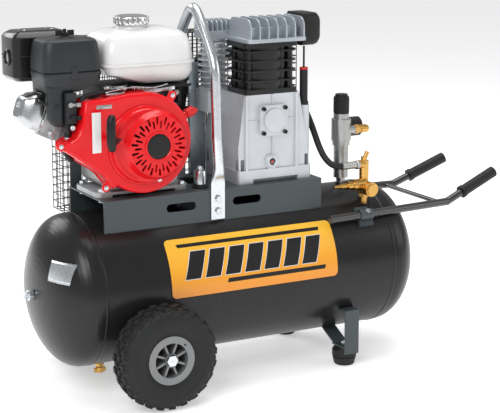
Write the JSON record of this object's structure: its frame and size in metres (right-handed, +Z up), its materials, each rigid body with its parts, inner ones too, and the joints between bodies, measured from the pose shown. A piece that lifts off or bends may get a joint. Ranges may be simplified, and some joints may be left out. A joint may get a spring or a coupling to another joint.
{
  "type": "wheelbarrow air compressor",
  "caption": "Petrol-driven piston air compressor on a horizontal receiver with two wheels, two rubber feet, barrow handles, a lifting hoop and a guarded belt drive.",
  "frame": {"origin": "on the floor, under the middle of the bounding box", "axes": "+X along the receiver towards the handles, +Y away from the recoil starter towards the belt guard, +Z up"},
  "size_m": [1.2844, 0.548, 0.9199],
  "materials": {
    "tank_black": "satin powder coat",
    "frame_slate": "satin powder coat",
    "guard_black": "coated welded wire",
    "engine_red": "gloss enamel",
    "fuel_tank_white": "gloss enamel",
    "cast_aluminium": "rough cast, machined faces",
    "pump_silver": "cast, silver paint",
    "head_blue_grey": "die cast, silver-blue paint",
    "cylinder_black": "gloss heat-proof paint",
    "flywheel_iron": "painted casting",
    "muffler_black": "gloss heat-proof paint",
    "housing_plastic": "fine moulded texture",
    "black_plastic": "moulded",
    "red_plastic": "moulded",
    "zinc": "bright zinc plate",
    "chrome": "polished plate",
    "steel": "ground",
    "brass": "turned",
    "rim_grey": "painted pressing",
    "tyre": "block tread",
    "black_rubber": "moulded",
    "belt_rubber": "fabric-faced V-belt",
    "lens_red": "clear red lens",
    "tube_black": "gloss powder coat"
  },
  "bodies": {
    "chassis": {"tank_shell": "tank_black", "tank_heads": "tank_black", "drain_valve": "brass", "base_plate": "frame_slate", "stands": "frame_slate", "rubber_feet": "black_rubber", "axle_brackets": "frame_slate", "handle_frame": "tube_black", "handle_clamps": "frame_slate", "handle_grips": "black_rubber", "roll_bar": "zinc", "guard_front": "guard_black", "guard_rear": "guard_black", "guard_edges": "guard_black", "engine_block": "cast_aluminium", "engine_cylinder": "cast_aluminium", "valve_cover": "cast_aluminium", "fan_shroud": "engine_red", "starter_housing": "engine_red", "air_filter_base": "housing_plastic", "air_filter_cover": "housing_plastic", "carburettor": "housing_plastic", "fuel_tank": "fuel_tank_white", "muffler": "muffler_black", "pump_crankcase": "pump_silver", "bearing_cover": "pump_silver", "sight_glass": "lens_red", "breather_pipe": "black_rubber", "first_cylinder": "cylinder_black", "first_head": "head_blue_grey", "second_cylinder": "pump_silver", "second_head": "head_blue_grey", "intake_filter": "black_plastic", "drive_belt": "belt_rubber", "pistons": "cast_aluminium", "delivery_hose": "black_rubber", "check_valve": "brass", "regulator_body": "steel", "pressure_gauge": "black_plastic", "outlet_coupling": "brass", "fasteners": "zinc"},
    "wheel_front": {"tyre_front": "tyre", "rim_front": "rim_grey"},
    "wheel_rear": {"tyre_rear": "tyre", "rim_rear": "rim_grey"},
    "engine_crank": {"fan_flywheel": "cylinder_black", "engine_shaft": "steel", "drive_pulley": "flywheel_iron"},
    "pump_crank": {"pump_shaft": "steel", "flywheel": "flywheel_iron"},
    "pull_grip": {"starter_grip": "black_plastic"},
    "cap": {"fuel_cap": "chrome"},
    "filter_nut": {"wing_nut": "black_plastic"},
    "throttle": {"throttle_lever": "steel"},
    "choke": {"choke_lever": "steel"},
    "fuel_tap": {"fuel_lever": "black_plastic"},
    "switch": {"stop_switch": "red_plastic"},
    "pressure_knob": {"regulator_knob": "black_plastic"},
    "needle": {"gauge_needle": "red_plastic"},
    "drain": {"drain_knob": "brass"}
  },
  "joints": [
    {"name": "front_wheel_spin", "type": "hinge", "parent": "chassis", "child": "wheel_front", "pos_m": [-0.38523, -0.234, 0.125], "axis": [0, 1, 0], "continuous": true},
    {"name": "rear_wheel_spin", "type": "hinge", "parent": "chassis", "child": "wheel_rear", "pos_m": [-0.38523, 0.234, 0.125], "axis": [0, 1, 0], "continuous": true},
    {"name": "pump_spin", "type": "hinge", "parent": "chassis", "child": "pump_crank", "pos_m": [-0.01423, 0.1715, 0.63], "axis": [0, 1, 0], "continuous": true},
    {"name": "engine_spin", "type": "hinge", "parent": "chassis", "child": "engine_crank", "pos_m": [-0.35423, 0.1715, 0.605], "axis": [0, 1, 0], "continuous": true},
    {"name": "starter_pull", "type": "slide", "parent": "chassis", "child": "pull_grip", "axis": [-0.8192, -0.5736, 0], "range_m": [0, 0.65], "stiffness_N_per_m": 12, "springref_m": -0.4},
    {"name": "fuel_cap_turn", "type": "hinge", "parent": "chassis", "child": "cap", "pos_m": [-0.34823, 0.008, 0.867], "axis": [0, 0, 1], "range_deg": [0, 90]},
    {"name": "wing_nut_turn", "type": "hinge", "parent": "chassis", "child": "filter_nut", "pos_m": [-0.53123, -0.026, 0.857], "axis": [0, 0, 1], "continuous": true},
    {"name": "throttle_swing", "type": "hinge", "parent": "chassis", "child": "throttle", "pos_m": [-0.42223, -0.03, 0.733], "axis": [0, 0, 1], "range_deg": [-20, 25]},
    {"name": "choke_swing", "type": "hinge", "parent": "chassis", "child": "choke", "pos_m": [-0.54923, -0.095, 0.709], "axis": [0, 1, 0], "range_deg": [0, 40]},
    {"name": "fuel_swing", "type": "hinge", "parent": "chassis", "child": "fuel_tap", "pos_m": [-0.54323, -0.095, 0.679], "axis": [0, 1, 0], "range_deg": [0, 70]},
    {"name": "stop_switch_turn", "type": "hinge", "parent": "chassis", "child": "switch", "pos_m": [-0.23429, -0.084, 0.67139], "axis": [0.9063, 0, 0.4226], "range_deg": [0, 60]},
    {"name": "regulator_turn", "type": "hinge", "parent": "chassis", "child": "pressure_knob", "pos_m": [0.23377, 0, 0.633], "axis": [0, 0, 1], "range_deg": [0, 720]},
    {"name": "needle_swing", "type": "hinge", "parent": "chassis", "child": "needle", "pos_m": [0.29677, 0.026, 0.573], "axis": [1, 0, 0], "range_deg": [-270, 0]},
    {"name": "drain_turn", "type": "hinge", "parent": "chassis", "child": "drain", "pos_m": [-0.45123, 0, 0.05], "axis": [0, 0, 1], "range_deg": [0, 360]}
  ],
  "couplings": [
    {"joint": "engine_spin", "follows": "pump_spin", "ratio": 3.2174}
  ]
}
